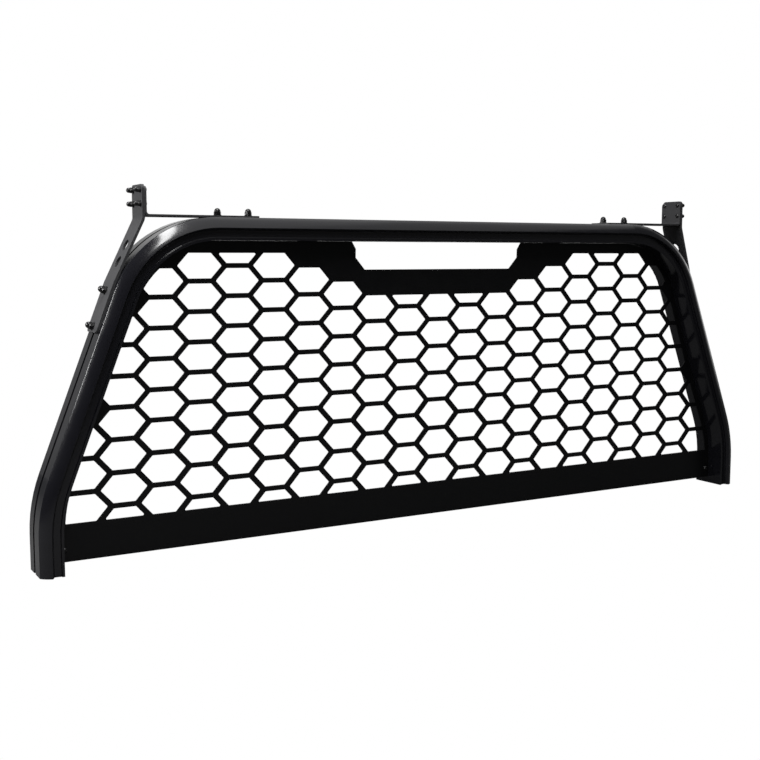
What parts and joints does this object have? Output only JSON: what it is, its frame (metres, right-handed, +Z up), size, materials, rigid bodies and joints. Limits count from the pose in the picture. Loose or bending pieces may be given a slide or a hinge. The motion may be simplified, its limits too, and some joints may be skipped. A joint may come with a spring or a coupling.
{
  "type": "headache rack",
  "caption": "Pickup headache rack: bent T-slot extrusion around a creased hexagonal mesh panel, with a light window and a braced bracket on each shoulder.",
  "frame": {"origin": "on the floor, midway between the two feet and midway through the frame's depth", "axes": "+Z up, +X along the width towards the right leg, -Y towards the truck bed, which is the face with the stepped recess"},
  "size_m": [1.7, 0.0878, 0.6945],
  "materials": {
    "frame_coat": "semi-gloss black powder coat on an aluminium extrusion",
    "panel_coat": "satin black powder coat on steel sheet",
    "bracket_coat": "fine-textured black powder coat on steel plate",
    "black_fastener": "black zinc on steel",
    "insert_metal": "plain machined aluminium"
  },
  "bodies": {
    "root": {"brace_strap_left": "bracket_coat", "brace_strap_right": "bracket_coat", "flange_bolts_left": "black_fastener", "flange_bolts_right": "black_fastener", "flange_cap_nuts_left": "black_fastener", "flange_cap_nuts_right": "black_fastener", "flange_washers_left": "black_fastener", "flange_washers_right": "black_fastener", "foot_insert_left": "insert_metal", "foot_insert_right": "insert_metal", "foot_insert_screws": "black_fastener", "frame_extrusion": "frame_coat", "l_bracket_left": "bracket_coat", "l_bracket_right": "bracket_coat", "leg_cap_nuts_left": "black_fastener", "leg_cap_nuts_right": "black_fastener", "leg_t_bolts_left": "black_fastener", "leg_t_bolts_right": "black_fastener", "leg_washers_left": "black_fastener", "leg_washers_right": "black_fastener", "mesh_panel": "panel_coat", "panel_clip_top_left": "bracket_coat", "panel_clip_top_right": "bracket_coat", "panel_flange_nuts": "black_fastener", "panel_lower_bolts": "black_fastener", "panel_studs": "panel_coat", "panel_tab_lower_left": "bracket_coat", "panel_tab_lower_right": "bracket_coat", "panel_tab_middle_left": "bracket_coat", "panel_tab_middle_right": "bracket_coat", "panel_tab_upper_left": "bracket_coat", "panel_tab_upper_right": "bracket_coat", "rail_cap_nuts_left": "black_fastener", "rail_cap_nuts_right": "black_fastener", "rail_t_bolts_left": "black_fastener", "rail_t_bolts_right": "black_fastener", "rail_washers_left": "black_fastener", "rail_washers_right": "black_fastener", "tab_rivets": "black_fastener"}
  },
  "joints": []
}
